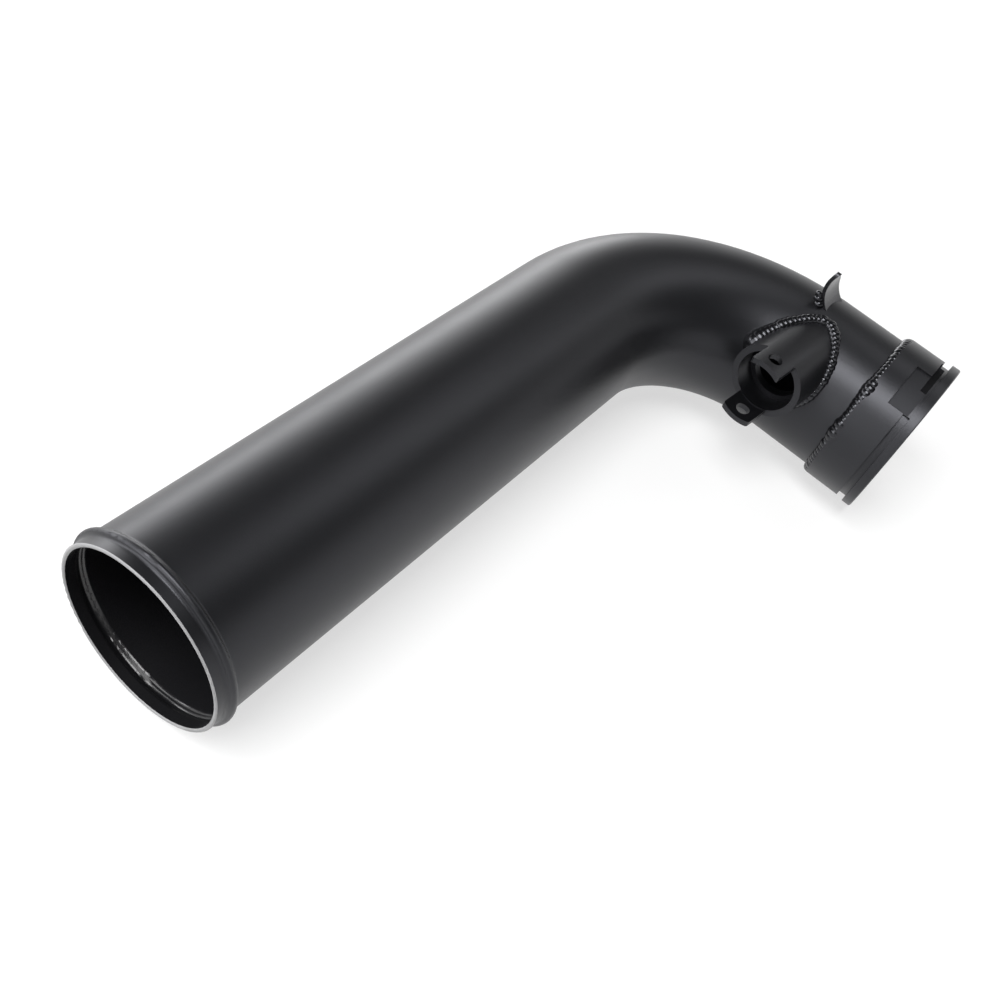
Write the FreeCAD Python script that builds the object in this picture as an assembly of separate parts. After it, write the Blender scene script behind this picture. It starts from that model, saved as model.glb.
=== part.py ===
import FreeCAD
import Part
import math
import os

# Resonator bypass pipe: a 90 degree bent aluminium tube with a beaded hose end, a quick-connect collar,
# a side port with two drilled tongues and a curved bracket tab, all welded together.
# Frame: origin at the centre of the hose end, hose leg along +X, collar leg along -Y, +Z up out of the
# bend plane. The pipe lies on its side on the collar's lip, the bead and the outside of the bend.

V = FreeCAD.Vector

# Main pipe
pipe_od = 76.2
pipe_wall = 1.65
bend_radius = 91.44
hose_leg_straight = 257.0
collar_leg_straight = 41.4
rim_round = 0.5

# Rolled bead at the hose end
lip_length = 4.0
bead_width = 5.6
bead_height = 2.0
bead_groove_width = 5.0
bead_groove_depth = 1.7

# Quick-connect collar, depths measured from its open end
collar_wall = 3.25
collar_length = 27.5
collar_bore_step = 0.95
collar_lead_in = 1.2
collar_stop_thick = 2.5
collar_socket_depth = 6.0
socket_clearance = 0.05
lip_thick = 4.6
lip_rise = 0.9
collar_edge_break = 0.5
groove_width = 3.8
groove_depth = 2.2
pocket_start = 6.0
pocket_end = 17.2
pocket_depth = 1.1
pocket_span = 35.6
pocket_count = 2
first_pocket_angle = 65.5
window_width = 3.2
window_start_angle = 3.0
window_span = 38.0

# Side port stub
stub_od = 36.5
stub_wall = 3.2
stub_below_pipe_top = 1.95
stub_from_bend_end = 1.0
stub_reach = 53.5
stub_lean = 5.5
socket_depth = 12.0
throat_bore = 25.0
tongue_length = 14.5
tongue_width = 15.6
tongue_corner = 1.0
tongue_relief = 0.5
tongue_hole = 7.0
tongue_hole_from_mouth = 7.2

# Curved bracket tab
tab_thick = 1.8
tab_radius = 17.3
tab_lean = 5.2
tab_width = 17.5
tab_height = 20.7
tab_far_height = 9.0
tab_corner = 2.0
tab_near_face = 6.1
tab_from_bend_end = -7.7

# Welds, each a row of overlapping ripples
ripple_taper = 0.8
ripple_overlap = 1.4
collar_ripple = 3.2
collar_ripple_pitch = 3.1
port_ripple = 2.7
port_ripple_pitch = 3.0
tab_ripple = 1.7
tab_ripple_pitch = 2.4

# Sizes that follow
pipe_r = pipe_od / 2
pipe_bore_r = pipe_r - pipe_wall
collar_r = pipe_r + socket_clearance + collar_wall
collar_bore_r = pipe_bore_r + collar_bore_step
collar_leg_x = hose_leg_straight + bend_radius
bend_end_y = -bend_radius
pipe_end_y = bend_end_y - collar_leg_straight
collar_face_y = pipe_end_y + collar_socket_depth
collar_end_y = collar_face_y - collar_length
stub_r = stub_od / 2
stub_bore_r = stub_r - stub_wall
stub_axis_height = pipe_r - stub_below_pipe_top - stub_r


def bead_edges(x_start, width, radius, height):
    """One rolled bead as four equal arcs in the XY plane, rising from radius by height."""
    half = width / 2
    arc_r = (half ** 2 + height ** 2) / (4 * height)
    turn = math.asin(half / 2 / arc_r)
    drop = arc_r * (1 - math.cos(turn / 2))
    run = arc_r * math.sin(turn / 2)
    foot = V(x_start, radius, 0)
    foot_mid = V(x_start + run, radius + drop, 0)
    flank = V(x_start + half / 2, radius + height / 2, 0)
    crown_mid = V(x_start + half - run, radius + height - drop, 0)
    crown = V(x_start + half, radius + height, 0)

    def mirrored(point):
        return V(2 * (x_start + half) - point.x, point.y, 0)

    return [
        Part.Arc(foot, foot_mid, flank).toShape(),
        Part.Arc(flank, crown_mid, crown).toShape(),
        Part.Arc(crown, mirrored(crown_mid), mirrored(flank)).toShape(),
        Part.Arc(mirrored(flank), mirrored(foot_mid), mirrored(foot)).toShape(),
    ]


def line(start, end):
    return Part.LineSegment(start, end).toShape()


def hose_leg():
    """The straight leg with its rolled bead, turned from one wall profile about the X axis."""
    bead_start = lip_length
    groove_start = lip_length + (bead_width - bead_groove_width) / 2
    outer = bead_edges(bead_start, bead_width, pipe_r, bead_height)
    inner = bead_edges(groove_start, bead_groove_width, pipe_bore_r, bead_groove_depth)
    far = hose_leg_straight
    middle = pipe_r - pipe_wall / 2
    swell = rim_round
    edges = [line(V(swell, pipe_r, 0), V(bead_start, pipe_r, 0))]
    edges += outer
    edges += [
        line(V(bead_start + bead_width, pipe_r, 0), V(far, pipe_r, 0)),
        line(V(far, pipe_r, 0), V(far, pipe_bore_r, 0)),
        line(V(far, pipe_bore_r, 0), V(groove_start + bead_groove_width, pipe_bore_r, 0)),
    ]
    edges += inner
    edges += [
        line(V(groove_start, pipe_bore_r, 0), V(swell, pipe_bore_r, 0)),
        Part.Arc(V(swell, pipe_bore_r, 0), V(0, middle, 0), V(swell, pipe_r, 0)).toShape(),
    ]
    profile = Part.Face(Part.Wire(Part.__sortEdges__(edges)))
    return profile.revolve(V(0, 0, 0), V(1, 0, 0), 360)


def ring(outer_r, inner_r, centre, normal):
    disc = Part.Face(Part.Wire(Part.makeCircle(outer_r, centre, normal)))
    if inner_r == 0:
        return disc
    hole = Part.Face(Part.Wire(Part.makeCircle(inner_r, centre, normal)))
    return disc.cut(hole).Faces[0]


def bend_and_collar_leg(outer_r, inner_r):
    """The 90 degree bend and the short straight leg that enters the collar."""
    start = ring(outer_r, inner_r, V(hose_leg_straight, 0, 0), V(1, 0, 0))
    bend = start.revolve(V(hose_leg_straight, -bend_radius, 0), V(0, 0, 1), -90)
    end = ring(outer_r, inner_r, V(collar_leg_x, bend_end_y, 0), V(0, -1, 0))
    leg = end.extrude(V(0, -collar_leg_straight, 0))
    return bend.fuse(leg)


def pipe_envelope():
    """The pipe's outside as one filled solid, used to cope what is welded onto it."""
    leg = Part.makeCylinder(pipe_r, hose_leg_straight, V(0, 0, 0), V(1, 0, 0))
    return leg.fuse(bend_and_collar_leg(pipe_r, 0)).removeSplitter()


def collar_frame():
    """Local Z runs into the collar from its open end, local X points back along the hose leg, local Y is up."""
    matrix = FreeCAD.Matrix(-1, 0, 0, collar_leg_x, 0, 0, 1, collar_end_y, 0, 1, 0, 0, 0, 0, 0, 1)
    return FreeCAD.Placement(matrix)


def collar_sector(inner_r, outer_r, start, end, from_angle, span):
    """A ring-shaped sector in the collar's own frame."""
    profile = Part.makePolygon([
        V(inner_r, 0, start),
        V(outer_r, 0, start),
        V(outer_r, 0, end),
        V(inner_r, 0, end),
        V(inner_r, 0, start),
    ])
    sector = Part.Face(profile).revolve(V(0, 0, 0), V(0, 0, 1), span)
    sector.rotate(V(0, 0, 0), V(0, 0, 1), from_angle)
    return sector


def collar_blank():
    """The turned collar: lead-in, bore, stop ring and pipe socket inside, raised lip outside."""
    bore_r = collar_bore_r
    socket_r = pipe_r + socket_clearance
    socket_floor = collar_length - collar_socket_depth
    stop_start = socket_floor - collar_stop_thick
    edge = collar_edge_break
    lip_r = collar_r + lip_rise
    points = [
        (bore_r + collar_lead_in, 0),
        (lip_r - edge, 0),
        (lip_r, edge),
        (lip_r, lip_thick),
        (collar_r, lip_thick),
        (collar_r, collar_length),
        (socket_r, collar_length),
        (socket_r, socket_floor),
        (pipe_bore_r, socket_floor),
        (pipe_bore_r, stop_start),
        (bore_r, stop_start),
        (bore_r, collar_lead_in),
        (bore_r + collar_lead_in, 0),
    ]
    profile = Part.Face(Part.makePolygon([V(r, 0, depth) for r, depth in points]))
    return profile.revolve(V(0, 0, 0), V(0, 0, 1), 360)


def coupling_collar():
    """The collar with its clip groove, clip windows and the shallow pockets beside them."""
    outside = 2 * collar_r
    pitch = 360 / pocket_count
    cuts = []
    for index in range(pocket_count):
        centre = first_pocket_angle + index * pitch
        pocket_edge = centre + pocket_span / 2
        cuts.append(collar_sector(
            collar_r - pocket_depth, outside, pocket_start, pocket_end,
            centre - pocket_span / 2, pocket_span))
        cuts.append(collar_sector(
            collar_r - groove_depth, outside, lip_thick, lip_thick + groove_width,
            pocket_edge, pitch - pocket_span))
        cuts.append(collar_sector(
            collar_bore_r / 2, outside, pocket_start, pocket_start + window_width,
            centre + window_start_angle, window_span))
    body = collar_blank().cut(cuts)
    body.Placement = collar_frame()
    return body


def stub_frame():
    """Local Z points out of the stub's mouth, local Y is up, and the origin is at the mouth's centre."""
    lean = math.radians(stub_lean)
    out = V(-math.cos(lean), math.sin(lean), 0)
    crossing = V(collar_leg_x, bend_end_y - stub_from_bend_end, stub_axis_height)
    mouth = crossing + out * stub_reach
    up = V(0, 0, 1)
    side = up.cross(out)
    matrix = FreeCAD.Matrix(
        side.x, up.x, out.x, mouth.x,
        side.y, up.y, out.y, mouth.y,
        side.z, up.z, out.z, mouth.z,
        0, 0, 0, 1)
    return FreeCAD.Placement(matrix)


def stub_cylinder(radius, start, end):
    """A cylinder on the stub's axis between two distances from its mouth."""
    cylinder = Part.makeCylinder(radius, end - start, V(0, 0, start))
    cylinder.Placement = stub_frame()
    return cylinder


def stub_tongues():
    """Two opposite tongues left standing beyond the mouth, each with rounded corners and a round hole.

    Their inner faces stand back from the socket's wall, so that a fitting starts in freely.
    """
    tongue_inner_r = stub_bore_r + tongue_relief
    tube = Part.makeCylinder(stub_r, tongue_length).cut(Part.makeCylinder(tongue_inner_r, tongue_length))
    outline = Part.makeBox(tongue_width, stub_od, tongue_length, V(-tongue_width / 2, -stub_r, 0))
    corners = [
        edge for edge in outline.Edges
        if abs(edge.CenterOfMass.z - tongue_length) < 0.001 and abs(edge.CenterOfMass.y) < 0.001
    ]
    outline = outline.makeFillet(tongue_corner, corners)
    hole = Part.makeCylinder(tongue_hole / 2, 2 * stub_od, V(0, -stub_od, tongue_hole_from_mouth), V(0, 1, 0))
    tongues = tube.common(outline).cut(hole)
    tongues.Placement = stub_frame()
    return tongues


def port_stub(envelope):
    """The stub coped to the pipe's outside, with a stepped bore and two drilled tongues."""
    body = stub_cylinder(stub_r, -stub_reach, 0).cut([
        envelope,
        stub_cylinder(stub_bore_r, -socket_depth, 0),
        stub_cylinder(throat_bore / 2, -stub_reach, 0),
    ])
    return body.fuse(stub_tongues()).removeSplitter()


def main_pipe():
    """The bent tube with the port hole cut through its wall under the stub."""
    tube = hose_leg().fuse(bend_and_collar_leg(pipe_r, pipe_bore_r)).removeSplitter()
    return tube.cut(stub_cylinder(throat_bore / 2, -stub_reach, 0))


def bracket_tab(envelope):
    """A curved lug standing on the pipe's back, with a top edge that slopes down to its far side."""
    foot = V(0, bend_end_y - tab_from_bend_end, pipe_r)
    lean = math.radians(tab_lean)
    chord = V(0, math.sin(lean), math.cos(lean))
    hollow_side = V(0, -math.cos(lean), math.sin(lean))
    to_centre = math.sqrt(tab_radius ** 2 - (tab_height / 2) ** 2)
    centre = foot + chord * (tab_height / 2) + hollow_side * to_centre
    shell = Part.makeCylinder(tab_radius, tab_width, centre, V(1, 0, 0))
    shell = shell.cut(Part.makeCylinder(tab_radius - tab_thick, tab_width, centre, V(1, 0, 0)))
    outline = Part.makePolygon([
        V(0, centre.y, 0),
        V(0, centre.y, pipe_r + tab_height),
        V(tab_width, centre.y, pipe_r + tab_far_height),
        V(tab_width, centre.y, 0),
        V(0, centre.y, 0),
    ])
    blank = Part.Face(outline).extrude(V(0, 2 * tab_radius, 0))
    corners = [
        edge for edge in blank.Edges
        if abs(edge.tangentAt(edge.FirstParameter).y) > 0.999 and edge.CenterOfMass.z > pipe_r
    ]
    blank = blank.makeFillet(tab_corner, corners)
    tab = shell.common(blank)
    tab.translate(V(collar_leg_x - tab_near_face, 0, 0))
    return max(tab.cut(envelope).Solids, key=lambda solid: solid.CenterOfMass.z)


def ripple(radius, length, point, along, core):
    """One ripple, a short cone laid along the weld, its seam turned towards the metal under it."""
    inward = core - point
    inward = inward - along * inward.dot(along)
    inward.normalize()
    side = along.cross(inward)
    cone = Part.makeCone(radius, radius * ripple_taper, length)
    cone.Placement = FreeCAD.Placement(FreeCAD.Matrix(
        inward.x, side.x, along.x, point.x,
        inward.y, side.y, along.y, point.y,
        inward.z, side.z, along.z, point.z,
        0, 0, 0, 1))
    return cone


def weld_run(path, radius, pitch, core):
    """Overlapping ripples laid at an even pitch along a path, fused into one run."""
    count = round(path.Length / pitch)
    points = path.discretize(Number=count + 1)
    cones = []
    for point, after in zip(points, points[1:]):
        along = after - point
        length = along.Length * ripple_overlap
        along.normalize()
        cones.append(ripple(radius, length, point, along, core))
    return cones[0].fuse(cones[1:])


def collar_weld(envelope):
    """The weld ring in the corner between the pipe and the collar's face."""
    centre = V(collar_leg_x, collar_face_y, 0)
    path = Part.Wire(Part.makeCircle(pipe_r, centre, V(0, 1, 0)))
    run = weld_run(path, collar_ripple, collar_ripple_pitch, centre)
    face = Part.makeCylinder(2 * collar_r, collar_length, centre, V(0, -1, 0))
    return run.cut([envelope, face])


def port_weld(envelope):
    """The weld round the line where the stub meets the pipe."""
    barrel = stub_cylinder(stub_r, -stub_reach, 0)
    wall = max(barrel.Faces, key=lambda face: face.Area)
    path = Part.Wire(Part.__sortEdges__(wall.section(envelope).Edges))
    core = V(collar_leg_x, bend_end_y, stub_axis_height)
    run = weld_run(path, port_ripple, port_ripple_pitch, core)
    return run.cut([envelope, barrel])


def bracket_weld(envelope, tab):
    """The short weld along the foot of the tab, on its bulging side."""
    long_edges = [edge for edge in tab.section(envelope).Edges if edge.Length > tab_width / 2]
    foot = max(long_edges, key=lambda edge: edge.CenterOfMass.y)
    core = V(collar_leg_x, foot.CenterOfMass.y, 0)
    run = weld_run(Part.Wire(foot), tab_ripple, tab_ripple_pitch, core)
    return run.cut([envelope, tab])


def build():
    envelope = pipe_envelope()
    collar = coupling_collar()
    stub = port_stub(envelope)
    tab = bracket_tab(envelope)
    return {
        "main_pipe": main_pipe(),
        "coupling_collar": collar,
        "collar_weld": collar_weld(envelope),
        "port_stub": stub,
        "port_weld": port_weld(envelope),
        "bracket_tab": tab,
        "bracket_weld": bracket_weld(envelope, tab),
    }


os.makedirs("parts", exist_ok=True)
for node, shape in build().items():
    shape.exportStep("parts/" + node + ".step")
    print(node, len(shape.Solids), "solid", shape.isValid(), round(shape.Volume), "mm3")
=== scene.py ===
# %% [markdown]
# # Resonator bypass pipe
# A bent and welded aluminium air pipe with a satin black powder coat. It lies on its side on a white studio
# floor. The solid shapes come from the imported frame, where they were made as exact CAD solids, so this lesson
# does not model them again. It gives each piece its finish, lays rippled weld beads where the plain ones are,
# and sets up the floor, the light and the camera.

# %% Load the frame
import math
import bpy
from mathutils import Matrix, Vector


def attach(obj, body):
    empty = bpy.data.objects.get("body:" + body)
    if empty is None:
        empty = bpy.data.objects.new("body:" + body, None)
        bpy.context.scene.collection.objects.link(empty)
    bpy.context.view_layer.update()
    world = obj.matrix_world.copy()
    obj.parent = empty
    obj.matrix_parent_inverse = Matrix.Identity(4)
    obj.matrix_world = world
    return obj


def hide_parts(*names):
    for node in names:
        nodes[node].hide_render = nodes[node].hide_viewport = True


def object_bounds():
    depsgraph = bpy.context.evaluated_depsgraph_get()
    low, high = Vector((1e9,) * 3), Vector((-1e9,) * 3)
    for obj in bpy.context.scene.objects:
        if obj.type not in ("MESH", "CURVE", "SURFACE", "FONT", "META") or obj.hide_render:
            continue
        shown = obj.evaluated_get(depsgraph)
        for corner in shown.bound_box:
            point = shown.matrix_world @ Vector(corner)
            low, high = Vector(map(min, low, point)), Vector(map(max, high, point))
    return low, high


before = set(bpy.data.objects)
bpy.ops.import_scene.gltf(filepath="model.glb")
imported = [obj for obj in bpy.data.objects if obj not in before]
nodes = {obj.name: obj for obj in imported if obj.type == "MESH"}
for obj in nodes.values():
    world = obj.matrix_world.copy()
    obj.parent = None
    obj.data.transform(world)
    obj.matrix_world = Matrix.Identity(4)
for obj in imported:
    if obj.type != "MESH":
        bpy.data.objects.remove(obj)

cad_low, cad_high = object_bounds()
print("pieces:", ", ".join(sorted(nodes)))
print("box from", [round(v, 4) for v in cad_low], "to", [round(v, 4) for v in cad_high])

# %% [markdown]
# ## The pipe's own sizes
# The pipe is one tube with a single quarter bend. The centre of its hose end is the origin, the long hose leg
# runs along +X, and the short collar leg runs along -Y. Seams and masks further down could be measured from
# the meshes, but four lengths describe the tube exactly, and a formula has no facets. All lengths are metres.

# %% Four lengths of the tube
PIPE_R = 0.0381
BEND_R = 0.09144
LEG_X = 0.257
COLLAR_X = LEG_X + BEND_R
print("the hose leg ends at x =", LEG_X, "and the collar leg's axis is at x =", round(COLLAR_X, 5))

# %% [markdown]
# ## Helpers for nodes
# Every finish here is a small tree of nodes. Trees can be wired by hand in the editor, but a script keeps them
# in order and lets several pieces share one recipe. A socket takes either a plain value or the output of
# another node, so the helpers accept both. An underscore in an input's name stands for a space.


# %% Adding nodes and doing sums with them
def feed(tree, value, socket):
    """Links another node's output to a socket, or sets a plain value there."""
    if isinstance(value, bpy.types.NodeSocket):
        tree.links.new(value, socket)
    else:
        socket.default_value = value


def add(tree, kind, settings=None, **inputs):
    """A new node, with its settings made before its inputs are fed."""
    node = tree.nodes.new(kind)
    for name, value in (settings or {}).items():
        setattr(node, name, value)
    for name, value in inputs.items():
        feed(tree, value, node.inputs[name.replace("_", " ")])
    return node


def maths(tree, operation, *values):
    node = add(tree, "ShaderNodeMath", {"operation": operation})
    for socket, value in zip(node.inputs, values):
        feed(tree, value, socket)
    return node.outputs[0]


def new_material(name):
    material = bpy.data.materials.new(name)
    material.use_nodes = True
    material.node_tree.nodes.clear()
    return material, material.node_tree


print("helpers for nodes are ready")

# %% [markdown]
# ## The powder coat
# On the real part a dry plastic powder is melted onto the metal. It leaves a satin skin with a fine grain, and
# its sheen drifts a little from place to place. An image texture could show this, but it would need unwrapped
# meshes. Noise in the object's own space needs none and has no seams. The colour is nearly black, so almost
# all that is seen on it is a broad reflection, tinted slightly blue.

# %% Grain, sheen and skin
GRAIN_PER_METRE = 1400.0
GRAIN_HEIGHT = 0.00006
CLOUDS_PER_METRE = 45.0
SHEEN_DRIFT = 0.06
COOL_TINT = (0.91, 0.92, 1.0, 1.0)


def grain_bump(tree, place, strength):
    noise = add(tree, "ShaderNodeTexNoise", Vector=place, Scale=GRAIN_PER_METRE, Detail=2.0, Roughness=0.6)
    bump = add(tree, "ShaderNodeBump", Strength=strength, Distance=GRAIN_HEIGHT, Height=noise.outputs["Fac"])
    return bump.outputs[0]


def drifting_roughness(tree, place, middle_rough):
    cloud = add(tree, "ShaderNodeTexNoise", Vector=place, Scale=CLOUDS_PER_METRE, Detail=3.0, Roughness=0.5)
    lowest = middle_rough - SHEEN_DRIFT / 2
    return maths(tree, "MULTIPLY_ADD", cloud.outputs["Fac"], SHEEN_DRIFT, lowest)


def powder_skin(tree, place, colour, roughness, grain):
    skin = add(tree, "ShaderNodeBsdfPrincipled", Base_Color=(*colour, 1.0), Roughness=roughness,
               Normal=grain_bump(tree, place, grain), Specular_IOR_Level=0.5, Specular_Tint=COOL_TINT)
    return skin.outputs[0]


print("grain of about", round(1000 / GRAIN_PER_METRE, 2), "mm")

# %% [markdown]
# ## Plain coats: the stub, the tab and the welds
# The machined side port, the curved tab and the weld beads have the coat all over. Smooth, small pieces come
# out glossier than the rough tube, and the welds most of all. One function with a few numbers makes them all,
# which is easier to tune than three separate trees.

# %% Three plain coats
BLACK = (0.004, 0.0041, 0.0048)
TAB_BLACK = (0.006, 0.0061, 0.0068)
WELD_BLACK = (0.005, 0.0051, 0.0058)


def plain_coat(name, colour, rough, grain):
    material, tree = new_material(name)
    place = add(tree, "ShaderNodeTexCoord").outputs["Object"]
    skin = powder_skin(tree, place, colour, drifting_roughness(tree, place, rough), grain)
    add(tree, "ShaderNodeOutputMaterial", Surface=skin)
    return material


stub_coat = plain_coat("stub powder coat", BLACK, rough=0.38, grain=0.3)
tab_coat = plain_coat("tab powder coat", TAB_BLACK, rough=0.24, grain=0.3)
weld_coat = plain_coat("weld powder coat", WELD_BLACK, rough=0.21, grain=0.2)
print("plain coats:", ", ".join(coat.name for coat in (stub_coat, tab_coat, weld_coat)))

# %% [markdown]
# ## The pipe's coat: a smoother inside and a light grey rim
# Inside the hose leg the coat is darker and smoother than outside. The cut rim is light grey: partly the bare
# aluminium of the edge, partly a painted highlight along it. The faces could be given three materials, but then
# the borders would follow the mesh. Masks made from place and direction are sharp wherever the faces lie. A
# point is on the inside where its normal points to the axis.


# %% Telling inside from outside
def inside_mask(tree, place, facing):
    """1 where the hose leg's skin faces the tube's axis, and 0 elsewhere."""
    leaving = [maths(tree, "MULTIPLY", place[way], facing[way]) for way in "YZ"]
    inward = maths(tree, "LESS_THAN", maths(tree, "ADD", *leaving), 0.0)
    return maths(tree, "MULTIPLY", inward, maths(tree, "LESS_THAN", place["X"], LEG_X))


def mix_shaders(tree, share, first, second):
    mix = add(tree, "ShaderNodeMixShader", Fac=share)
    tree.links.new(first, mix.inputs[1])
    tree.links.new(second, mix.inputs[2])
    return mix.outputs[0]


print("the inside ends at x =", LEG_X)

# %% Three skins in one coat
INSIDE_BLACK = (0.008, 0.008, 0.009, 1.0)
INSIDE_ROUGH = 0.25
# The rim's light grey stands for the bare edge and is also a painted highlight on that edge.
BARE_AND_GLINT_GREY = (0.27, 0.27, 0.275, 1.0)
RIM_ROUGH = 0.35
RIM_DEPTH = 0.0005


def make_pipe_coat(name, rough, grain):
    material, tree = new_material(name)
    spots = add(tree, "ShaderNodeTexCoord").outputs
    place = add(tree, "ShaderNodeSeparateXYZ", Vector=spots["Object"]).outputs
    facing = add(tree, "ShaderNodeSeparateXYZ", Vector=spots["Normal"]).outputs
    roughness = drifting_roughness(tree, spots["Object"], rough)
    skin = powder_skin(tree, spots["Object"], BLACK, roughness, grain)
    inner = add(tree, "ShaderNodeBsdfPrincipled", Base_Color=INSIDE_BLACK, Roughness=INSIDE_ROUGH)
    bare_and_glint = add(tree, "ShaderNodeBsdfPrincipled", Base_Color=BARE_AND_GLINT_GREY, Roughness=RIM_ROUGH)
    coated = mix_shaders(tree, inside_mask(tree, place, facing), skin, inner.outputs[0])
    # Within RIM_DEPTH of the cut end the grey is painted on: bare metal and a painted highlight together.
    on_rim = maths(tree, "LESS_THAN", place["X"], RIM_DEPTH)
    add(tree, "ShaderNodeOutputMaterial", Surface=mix_shaders(tree, on_rim, coated, bare_and_glint.outputs[0]))
    return material


pipe_coat = make_pipe_coat("pipe powder coat", rough=0.40, grain=0.35)
print(pipe_coat.name, "has", len(pipe_coat.node_tree.nodes), "nodes")

# %% [markdown]
# ## The collar's coat: duller pockets
# The machined collar has shallow pockets beside its clip windows, and their floors look duller than the rest.
# They could be a second material, but the pockets are known by their sizes alone: their floors lie at one
# distance from the collar's axis. A mask of that distance raises the roughness there.

# %% The collar's coat
POCKET_R = 0.0403
POCKET_SLACK = 0.0004
POCKET_Y = (-0.1483, -0.1372)


def between(tree, value, low, high):
    above = maths(tree, "GREATER_THAN", value, low)
    below = maths(tree, "LESS_THAN", value, high)
    return maths(tree, "MULTIPLY", above, below)


def pocket_mask(tree, place):
    """1 on the pockets' floors and 0 elsewhere."""
    across = maths(tree, "SUBTRACT", place["X"], COLLAR_X)
    squares = [maths(tree, "MULTIPLY", side, side) for side in (across, place["Z"])]
    distance = maths(tree, "SQRT", maths(tree, "ADD", *squares))
    on_floor = between(tree, distance, POCKET_R - POCKET_SLACK, POCKET_R + POCKET_SLACK)
    return maths(tree, "MULTIPLY", on_floor, between(tree, place["Y"], *POCKET_Y))


def make_collar_coat(name, rough, pocket_rough, grain):
    material, tree = new_material(name)
    spots = add(tree, "ShaderNodeTexCoord").outputs["Object"]
    place = add(tree, "ShaderNodeSeparateXYZ", Vector=spots).outputs
    duller = maths(tree, "MULTIPLY", pocket_mask(tree, place), pocket_rough - rough)
    roughness = maths(tree, "ADD", drifting_roughness(tree, spots, rough), duller)
    add(tree, "ShaderNodeOutputMaterial", Surface=powder_skin(tree, spots, BLACK, roughness, grain))
    return material


collar_coat = make_collar_coat("collar powder coat", rough=0.38, pocket_rough=0.62, grain=0.3)
print(collar_coat.name, "has", len(collar_coat.node_tree.nodes), "nodes")

# %% [markdown]
# ## Dressing the solids
# Each solid of the frame is a mesh object that comes without a finish. Here one slot of its mesh takes one
# coat. The plain welds are dressed too, although ripples take their place below, so that no piece is bare.

# %% A coat for each solid
COATS = {"main_pipe": pipe_coat, "coupling_collar": collar_coat, "port_stub": stub_coat, "bracket_tab": tab_coat,
         "collar_weld": weld_coat, "port_weld": weld_coat, "bracket_weld": weld_coat}
for piece, coat in COATS.items():
    nodes[piece].data.materials.clear()
    nodes[piece].data.materials.append(coat)
    print(piece, "wears", coat.name)

# %% [markdown]
# ## The seams that the welds follow
# A weld runs where one piece meets the pipe's skin. The seam could be traced by cutting one mesh with
# another, but that gives uneven points. The pipe is everything within one radius of its centre line, so a few
# halvings between a point outside it and a point inside it find the skin as exactly as needed.

# %% Finding the pipe's skin
HALVINGS = 40
TINY = 1e-9


def nearest_on_pipe(point):
    """The point of the pipe's centre line that is nearest to a point."""
    on_leg = Vector((min(point.x, LEG_X), 0.0, 0.0))
    on_collar_leg = Vector((COLLAR_X, min(point.y, -BEND_R), 0.0))
    bend_centre = Vector((LEG_X, -BEND_R, 0.0))
    reach = Vector((max(point.x - LEG_X, TINY), max(point.y + BEND_R, TINY), 0.0))
    on_bend = bend_centre + reach.normalized() * BEND_R
    return min((on_leg, on_collar_leg, on_bend), key=lambda spot: (spot - point).length)


def crossing(outside, inside):
    """Halves the way between two points until it meets the pipe's skin."""
    for _ in range(HALVINGS):
        half_way = (outside + inside) / 2
        if (half_way - nearest_on_pipe(half_way)).length > PIPE_R:
            outside = half_way
        else:
            inside = half_way
    return outside


top = crossing(Vector((LEG_X / 2, 0.0, 1.0)), Vector((LEG_X / 2, 0.0, 0.0)))
print("the skin on top of the hose leg is at z =", round(top.z, 5))

# %% [markdown]
# ## A hand-laid bead is not even
# Where the welder starts, stops or waits, the bead swells. This could be left to chance, but the swellings are
# in certain places on the real part. So a few lumps are given, each with its place along the run, its width
# and its rise, and the bead's fullness is worked out from them. A path is a list of spots, each with the way
# that the bead faces and its fullness.


# %% Fullness along a run
def swell(share, lumps):
    """How full the bead is at a share of a closed run."""
    full = 1.0
    for place, width, rise in lumps:
        away = abs(share - place)
        away = min(away, 1 - away)
        full += rise * math.exp(-(away / width) ** 2)
    return full


print("a lump of 0.5 lifts the bead at its middle to", swell(0.3, [(0.3, 0.05, 0.5)]))

# %% [markdown]
# ## The collar's seam
# The pipe slips into the collar, and a weld fills the corner between the pipe and the collar's flat end. That
# corner is a plain circle. A circle object could be bent to shape, but a loop also records which way the bead
# faces at each spot: half outward, half back along the pipe.

# %% Path of the collar's weld
RING_SPOTS = 180
COLLAR_FACE_Y = -0.12684
COLLAR_LUMPS = ((0.36, 0.030, 0.26), (0.465, 0.022, 0.24), (0.21, 0.04, 0.12))

collar_path = []
for index in range(RING_SPOTS):
    angle = 2 * math.pi * index / RING_SPOTS
    away = Vector((math.cos(angle), 0.0, math.sin(angle)))
    spot = Vector((COLLAR_X, COLLAR_FACE_Y, 0.0)) + away * PIPE_R
    facing = (away + Vector((0, 1, 0))).normalized()
    collar_path.append((spot, facing, swell(index / RING_SPOTS, COLLAR_LUMPS)))
print("collar seam:", len(collar_path), "spots")

# %% [markdown]
# ## The port's seam
# The side port is a round stub that is cut to fit the pipe, so its seam is a saddle and not a flat ring. From
# each spot round the stub, a line along its side is followed until it meets the pipe. The bead is fullest
# where it starts, on the elbow's side, and thinner towards the collar.

# %% Path of the port's weld
STUB_R = 0.01825
STUB_LEAN = math.radians(5.5)
STUB_PAST_BEND = 0.001
STUB_HEIGHT = 0.0179
STUB_FOOT = Vector((COLLAR_X, -BEND_R - STUB_PAST_BEND, STUB_HEIGHT))
STUB_REACH = 0.0535
PORT_LUMPS = ((0.475, 0.035, 1.0), (0.40, 0.09, 0.34), (0.20, 0.04, 0.12), (0.02, 0.12, -0.12))

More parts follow.
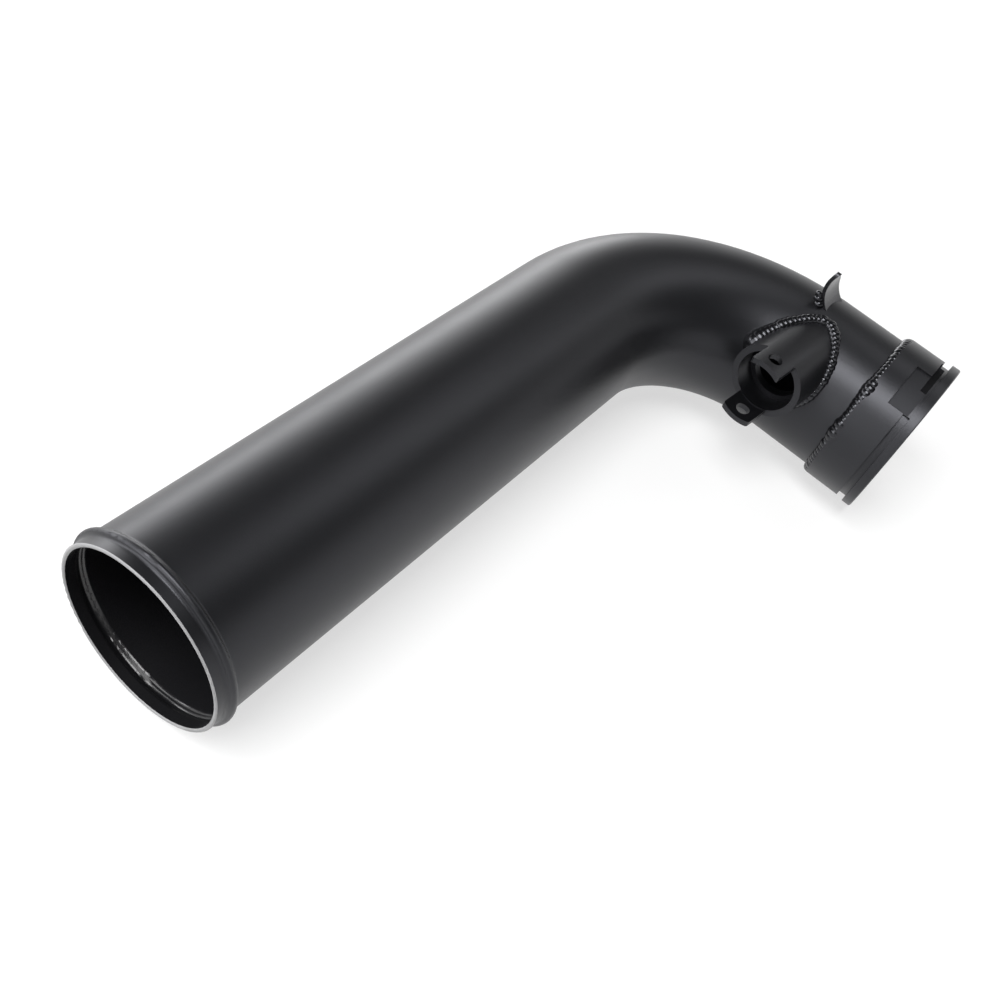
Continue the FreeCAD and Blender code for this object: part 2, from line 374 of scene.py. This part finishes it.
upward = Vector((0, 0, 1))
stub_way = Vector((-math.cos(STUB_LEAN), math.sin(STUB_LEAN), 0.0))
stub_side = upward.cross(stub_way)
port_path = []
for index in range(RING_SPOTS):
    angle = 2 * math.pi * index / RING_SPOTS
    away = stub_side * math.cos(angle) + upward * math.sin(angle)
    start = STUB_FOOT + away * STUB_R
    spot = crossing(start + stub_way * STUB_REACH, start)
    skin_way = (spot - nearest_on_pipe(spot)).normalized()
    port_path.append((spot, (away + skin_way).normalized(), swell(index / RING_SPOTS, PORT_LUMPS)))
heights = [spot.z for spot, facing, full in port_path]
print("port seam: from z =", round(min(heights), 4), "to", round(max(heights), 4))

# %% [markdown]
# ## The tab's seam
# The thin curved tab stands on the pipe and is held by a short heap of weld. It runs down the near edge of the
# tab's bulging side and then along its foot. It keeps a little off the plate, so that round ripples do not
# come out on the other side.

# %% Path of the tab's weld
TAB_X = 0.34234
TAB_FOOT_Y = -0.08374
TAB_R = 0.0173
TAB_CENTRE_Y = -0.0966
TAB_CENTRE_Z = 0.04966
TAB_WELD_RISE = 0.0055
TAB_WELD_LENGTH = 0.012
TAB_WELD_OFF = 0.0015
TAB_SPOTS = 24
EDGE_FACING = Vector((-0.5, 0.8, 0.3))
FOOT_FACING = Vector((0, 0.7, 0.7))
EDGE_FULL, EDGE_GAIN = 0.8, 0.4
FOOT_FULL, FOOT_LOSS = 1.3, 0.4


def skin_height(x, y):
    """Where a line straight down onto the pipe meets its skin."""
    return crossing(Vector((x, y, 2 * PIPE_R)), Vector((x, y, 0.0))).z


tab_path = []
for index in range(TAB_SPOTS):
    share = index / TAB_SPOTS
    z = skin_height(TAB_X, TAB_FOOT_Y) + TAB_WELD_RISE * (1 - share)
    y = TAB_CENTRE_Y + TAB_WELD_OFF + math.sqrt(TAB_R ** 2 - (z - TAB_CENTRE_Z) ** 2)
    tab_path.append((Vector((TAB_X, y, z)), EDGE_FACING, EDGE_FULL + EDGE_GAIN * share))
y = TAB_FOOT_Y + TAB_WELD_OFF
for index in range(TAB_SPOTS):
    share = index / (TAB_SPOTS - 1)
    x = TAB_X + TAB_WELD_LENGTH * share
    tab_path.append((Vector((x, y, skin_height(x, y))), FOOT_FACING, FOOT_FULL - FOOT_LOSS * share))
print("tab seam:", len(tab_path), "spots")

# %% [markdown]
# ## A node group that lays ripples
# A weld bead looks like a stack of coins that leans along the joint: one ripple for each dab of filler. They
# could be placed one by one in a loop, but a repeat along a path is what Geometry Nodes are for, and all three
# welds can share one group. Its inputs are the sizes that differ. First the path becomes a curve, and the
# curve is cut into even steps, one for each ripple.

# %% Inputs, and steps along the seam
WELD_INPUTS = {"Geometry": "Geometry", "Radius": "Float", "Pitch": "Float", "Thickness": "Float",
               "Lean": "Float", "Jitter": "Float", "Seed": "Int", "Material": "Material"}

ripples = bpy.data.node_groups.new("weld ripples", "GeometryNodeTree")
for label, kind in WELD_INPUTS.items():
    ripples.interface.new_socket(label, in_out="INPUT", socket_type="NodeSocket" + kind)
ripples.interface.new_socket("Geometry", in_out="OUTPUT", socket_type="NodeSocketGeometry")
given = add(ripples, "NodeGroupInput").outputs
seam = add(ripples, "GeometryNodeMeshToCurve", Mesh=given["Geometry"]).outputs["Curve"]
steps = add(ripples, "GeometryNodeResampleCurve", {"mode": "LENGTH"}, Curve=seam, Length=given["Pitch"])
print("inputs:", ", ".join(WELD_INPUTS))

# %% [markdown]
# ## The size of a ripple
# A ripple is a ball that is flattened along the seam. No two dabs of filler are the same, so a random factor
# changes each one a little. The seed is fixed, so every run gives the same bead. The fullness from the path
# comes in as a named attribute and multiplies that factor.

# %% Each ripple's size
# A Random Value node has a set of sockets for each kind of number; these belong to a single float.
FLOAT_LEAST, FLOAT_MOST, FLOAT_OUT = 2, 3, 1

chance = add(ripples, "FunctionNodeRandomValue", {"data_type": "FLOAT"}, Seed=given["Seed"])
feed(ripples, maths(ripples, "SUBTRACT", 1.0, given["Jitter"]), chance.inputs[FLOAT_LEAST])
feed(ripples, maths(ripples, "ADD", 1.0, given["Jitter"]), chance.inputs[FLOAT_MOST])
fullness = add(ripples, "GeometryNodeInputNamedAttribute", {"data_type": "FLOAT"}, Name="fullness")
factor = maths(ripples, "MULTIPLY", chance.outputs[FLOAT_OUT], fullness.outputs[0])
flat = maths(ripples, "MULTIPLY", given["Radius"], given["Thickness"])
usual = add(ripples, "ShaderNodeCombineXYZ", X=given["Radius"], Y=given["Radius"], Z=flat)
size = add(ripples, "ShaderNodeVectorMath", {"operation": "SCALE"}, Vector=usual.outputs[0], Scale=factor)
print("nodes so far:", len(ripples.nodes))

# %% [markdown]
# ## The turn of a ripple
# Each ripple is first turned so that its flat side faces along the seam, then spun about the seam until it
# faces out of the corner, and last tipped over like a fallen coin. Three small turns after each other are
# easier to follow than one set of angles.

# %% Each ripple's turn
tangent = add(ripples, "GeometryNodeInputTangent").outputs[0]
along = add(ripples, "FunctionNodeAlignRotationToVector", {"axis": "Z"}, Vector=tangent)
outward = add(ripples, "GeometryNodeInputNamedAttribute", {"data_type": "FLOAT_VECTOR"}, Name="outward")
out_turn = add(ripples, "FunctionNodeAlignRotationToVector", {"axis": "X", "pivot_axis": "Z"},
               Rotation=along.outputs[0], Vector=outward.outputs[0])
lean_angles = add(ripples, "ShaderNodeCombineXYZ", Y=given["Lean"]).outputs[0]
lean = add(ripples, "FunctionNodeEulerToRotation", Euler=lean_angles).outputs[0]
turn = add(ripples, "FunctionNodeRotateRotation", {"rotation_space": "LOCAL"},
           Rotation=out_turn.outputs[0], Rotate_By=lean)
print("nodes so far:", len(ripples.nodes))

# %% [markdown]
# ## Ripples over a plain cord
# Filler also melts down into the corner, so no gap is seen between ripples. A round cord along the seam, a
# little thinner than the ripples, stands for it. Instances are turned into real faces at the end, because only
# real faces are exported, and the coat is set in the group.

# %% The finished group
CORD_SHARE = 0.8
CORD_SIDES = 20

ball = add(ripples, "GeometryNodeMeshUVSphere", Segments=20, Rings=12, Radius=1.0)
row = add(ripples, "GeometryNodeInstanceOnPoints", Points=steps.outputs["Curve"], Instance=ball.outputs["Mesh"],
          Rotation=turn.outputs[0], Scale=size.outputs[0])
cord_r = maths(ripples, "MULTIPLY", given["Radius"], CORD_SHARE)
cord_round = add(ripples, "GeometryNodeCurvePrimitiveCircle", Resolution=CORD_SIDES, Radius=cord_r)
cord = add(ripples, "GeometryNodeCurveToMesh", Curve=seam, Profile_Curve=cord_round.outputs["Curve"],
           Fill_Caps=True)
bead = add(ripples, "GeometryNodeJoinGeometry")
for piece in (row.outputs["Instances"], cord.outputs["Mesh"]):
    ripples.links.new(piece, bead.inputs[0])
whole = add(ripples, "GeometryNodeRealizeInstances", Geometry=bead.outputs[0])
smooth = add(ripples, "GeometryNodeSetShadeSmooth", Geometry=whole.outputs[0])
coated = add(ripples, "GeometryNodeSetMaterial", Geometry=smooth.outputs[0], Material=given["Material"])
add(ripples, "NodeGroupOutput", Geometry=coated.outputs[0])
print("the group has", len(ripples.nodes), "nodes and", len(ripples.links), "links")

# %% [markdown]
# ## Laying the three welds
# A path becomes a mesh of points and edges that carries the two named attributes. The node group then runs on
# it as a modifier. Each bead takes the place of the plain weld that the CAD model has there.


# %% A path as a mesh
def path_mesh(name, path, closed):
    mesh = bpy.data.meshes.new(name)
    last = len(path) if closed else len(path) - 1
    edges = [(index, (index + 1) % len(path)) for index in range(last)]
    mesh.from_pydata([spot for spot, facing, full in path], edges, [])
    mesh.attributes.new("outward", "FLOAT_VECTOR", "POINT")
    mesh.attributes.new("fullness", "FLOAT", "POINT")
    for index, (spot, facing, full) in enumerate(path):
        mesh.attributes["outward"].data[index].vector = facing
        mesh.attributes["fullness"].data[index].value = full
    return mesh


print("spots to join:", len(collar_path), len(port_path), len(tab_path))


# %% From path to bead
def lay_weld(name, path, closed, replaced, sizes):
    """Runs the node group on a path and keeps the result as a plain mesh."""
    weld = bpy.data.objects.new(name, path_mesh(name + " path", path, closed))
    bpy.context.scene.collection.objects.link(weld)
    modifier = weld.modifiers.new("ripples", "NODES")
    modifier.node_group = ripples
    sockets = {item.name: item.identifier for item in ripples.interface.items_tree if item.in_out == "INPUT"}
    for label, value in sizes.items():
        modifier[sockets[label]] = value
    modifier[sockets["Material"]] = weld_coat
    bpy.context.view_layer.update()
    ready = weld.evaluated_get(bpy.context.evaluated_depsgraph_get())
    mesh = bpy.data.meshes.new_from_object(ready)
    weld.modifiers.clear()
    weld.data = mesh
    mesh.name = name
    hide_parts(replaced)
    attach(weld, "root")
    print(name, "has", len(mesh.polygons), "faces")


lay_weld("collar_ripples", collar_path, True, "collar_weld",
         {"Radius": 0.0030, "Pitch": 0.0026, "Thickness": 0.95, "Lean": 0.55, "Jitter": 0.09, "Seed": 3})
lay_weld("port_ripples", port_path, True, "port_weld",
         {"Radius": 0.0027, "Pitch": 0.0024, "Thickness": 0.95, "Lean": 0.6, "Jitter": 0.11, "Seed": 8})
lay_weld("tab_ripples", tab_path, False, "bracket_weld",
         {"Radius": 0.0021, "Pitch": 0.0024, "Thickness": 0.8, "Lean": 0.5, "Jitter": 0.14, "Seed": 5})

# %% [markdown]
# ## The floor
# The part lies on a plain white floor without an edge in sight. A bent sheet of paper is the usual studio way,
# but here a flat square is enough, because its far part fades into a white room. It lies at the part's lowest
# point, so that the part touches it.

# %% The floor's shape
FLOOR_HALF = 4.0

corners = [(x * FLOOR_HALF, y * FLOOR_HALF, cad_low.z) for x, y in ((-1, -1), (1, -1), (1, 1), (-1, 1))]
floor_mesh = bpy.data.meshes.new("floor")
floor_mesh.from_pydata(corners, [], [(0, 1, 2, 3)])
floor = bpy.data.objects.new("floor", floor_mesh)
bpy.context.scene.collection.objects.link(floor)
print("floor at z =", round(cad_low.z, 4))

# %% [markdown]
# ## The floor's finish
# White paper under strong light would turn fully white, but that light would also bleach the part. So the
# paper is a mild grey with a glow of its own on top. The glow shows only to rays that look straight at the
# floor, or at its mirror image, and does not light the part from below. Far away it grows, and no horizon is
# left. The soft shadow stays, because the grey paper under the glow still receives it.

# %% A paper that glows
PAPER_GREY = (0.38, 0.38, 0.38, 1.0)
WHITE = (1.0, 1.0, 1.0, 1.0)
GLOW_NEAR, GLOW_FAR = 0.62, 1.0
NEAR_REACH, FAR_REACH = 0.7, 2.0


def soft_step(tree, value, start, end, before, after):
    """Goes gently from one number to another while a value goes from start to end."""
    step = add(tree, "ShaderNodeMapRange", {"interpolation_type": "SMOOTHSTEP"}, Value=value,
               From_Min=start, From_Max=end, To_Min=before, To_Max=after)
    return step.outputs[0]


floor_white, tree = new_material("floor white")
rays = add(tree, "ShaderNodeLightPath").outputs
seen = maths(tree, "MAXIMUM", rays["Is Camera Ray"], rays["Is Glossy Ray"])
seen = maths(tree, "MAXIMUM", seen, rays["Is Transmission Ray"])
spots = add(tree, "ShaderNodeTexCoord").outputs["Object"]
distance = add(tree, "ShaderNodeVectorMath", {"operation": "LENGTH"}, Vector=spots).outputs["Value"]
strength = soft_step(tree, distance, NEAR_REACH, FAR_REACH, GLOW_NEAR, GLOW_FAR)
glow = add(tree, "ShaderNodeEmission", Color=WHITE, Strength=maths(tree, "MULTIPLY", seen, strength))
paper = add(tree, "ShaderNodeBsdfDiffuse", Color=PAPER_GREY)
both = add(tree, "ShaderNodeAddShader")
for socket, layer in zip(both.inputs, (paper, glow)):
    tree.links.new(layer.outputs[0], socket)
add(tree, "ShaderNodeOutputMaterial", Surface=both.outputs[0])
floor.data.materials.append(floor_white)
print(floor_white.name, "has", len(tree.nodes), "nodes")

# %% [markdown]
# ## The room
# A dark, satin part is mostly a picture of what stands around it. The room is white near the floor, which gives
# pale edges to the tube, and dark overhead, which keeps its upper side black. A photographed surrounding would
# do too, but a soft step over the height needs no image and is easy to tune.

# %% A cove that is white below and dark above
COVE_WHITE, COVE_DARK = 1.0, 0.03
WHITE_UP_TO, DARK_FROM = 0.18, 0.55

world = bpy.data.worlds.new("white cove")
bpy.context.scene.world = world
world.use_nodes = True
tree = world.node_tree
tree.nodes.clear()
way = add(tree, "ShaderNodeTexCoord").outputs["Generated"]
height = add(tree, "ShaderNodeSeparateXYZ", Vector=way).outputs["Z"]
strength = soft_step(tree, height, WHITE_UP_TO, DARK_FROM, COVE_WHITE, COVE_DARK)
cove = add(tree, "ShaderNodeBackground", Color=WHITE, Strength=strength)
add(tree, "ShaderNodeOutputWorld", Surface=cove.outputs[0])
print("room:", world.name)

# %% [markdown]
# ## Soft boxes
# The long pale streak on the hose leg, the sheen on the elbow and the glints on the welds are mirror images of
# large, soft lamps. Area lights give just that: their size sets how broad a streak is, and their place sets
# where it lies. Each of the seven has one job, so each can be moved without spoiling another.

# %% Seven lamps
MIDDLE = (cad_low + cad_high) / 2
HOSE_END = (0.0, 0.0, 0.0)
BACK_AIM = (0.2, 0.0, 0.0)


def soft_box(name, place, aim, size, power):
    light = bpy.data.lights.new(name, "AREA")
    light.shape = "RECTANGLE"
    light.size, light.size_y = size
    light.energy = power
    lamp = bpy.data.objects.new(name, light)
    lamp.location = place
    lamp.rotation_euler = (Vector(aim) - Vector(place)).to_track_quat("-Z", "Y").to_euler()
    bpy.context.scene.collection.objects.link(lamp)
    print(name, "of", size, "m with", power, "W")


soft_box("overhead box", place=(-0.85, 0.20, 2.4), aim=(0.35, -0.1, 0.0), size=(1.6, 1.0), power=62.0)
soft_box("key box", place=(1.45, -0.68, 1.70), aim=MIDDLE, size=(0.6, 1.4), power=4.5)
soft_box("collar box", place=(1.35, -0.05, 1.75), aim=MIDDLE, size=(0.8, 0.8), power=2.0)
soft_box("left box", place=(-1.5, 0.7, 0.95), aim=HOSE_END, size=(1.2, 1.5), power=22.0)
soft_box("mouth box", place=(-0.75, 1.75, 0.6), aim=HOSE_END, size=(0.8, 0.5), power=10.0)
soft_box("back strip", place=(0.75, 1.3, 0.05), aim=BACK_AIM, size=(2.4, 0.36), power=14.0)
soft_box("back panel", place=(0.75, 1.4, 0.30), aim=BACK_AIM, size=(2.4, 0.8), power=7.5)

# %% [markdown]
# ## The camera
# It keeps the viewing angle at which the pipe is seen in the photograph: the hose end low on the left, the
# collar on the right. A camera can be aimed with a constraint, but this one is also rolled. So its right and
# up directions are given, made square to each other, and put into its matrix. The Standard view transform
# keeps white as white.

# %% The camera
SENSOR_MM = 36.0
LENS_MM = 39.60
NEAR_CLIP = 0.01
CAMERA_PLACE = (-0.1358, -0.1433, 0.3346)
CAMERA_RIGHT = (0.5955, -0.7526, 0.2812)
CAMERA_UP = (0.4965, 0.6199, 0.6077)

lens = bpy.data.cameras.new("camera")
lens.sensor_width = SENSOR_MM
lens.lens = LENS_MM
lens.clip_start = NEAR_CLIP
camera = bpy.data.objects.new("camera", lens)
right = Vector(CAMERA_RIGHT).normalized()
up = Vector(CAMERA_UP)
up = (up - right * up.dot(right)).normalized()
back = right.cross(up)
axes = Matrix((right, up, back)).transposed().to_4x4()
camera.matrix_world = Matrix.Translation(CAMERA_PLACE) @ axes
bpy.context.scene.collection.objects.link(camera)
bpy.context.scene.camera = camera
bpy.context.scene.view_settings.view_transform = "Standard"
print("camera looks along", [round(v, 3) for v in -back])
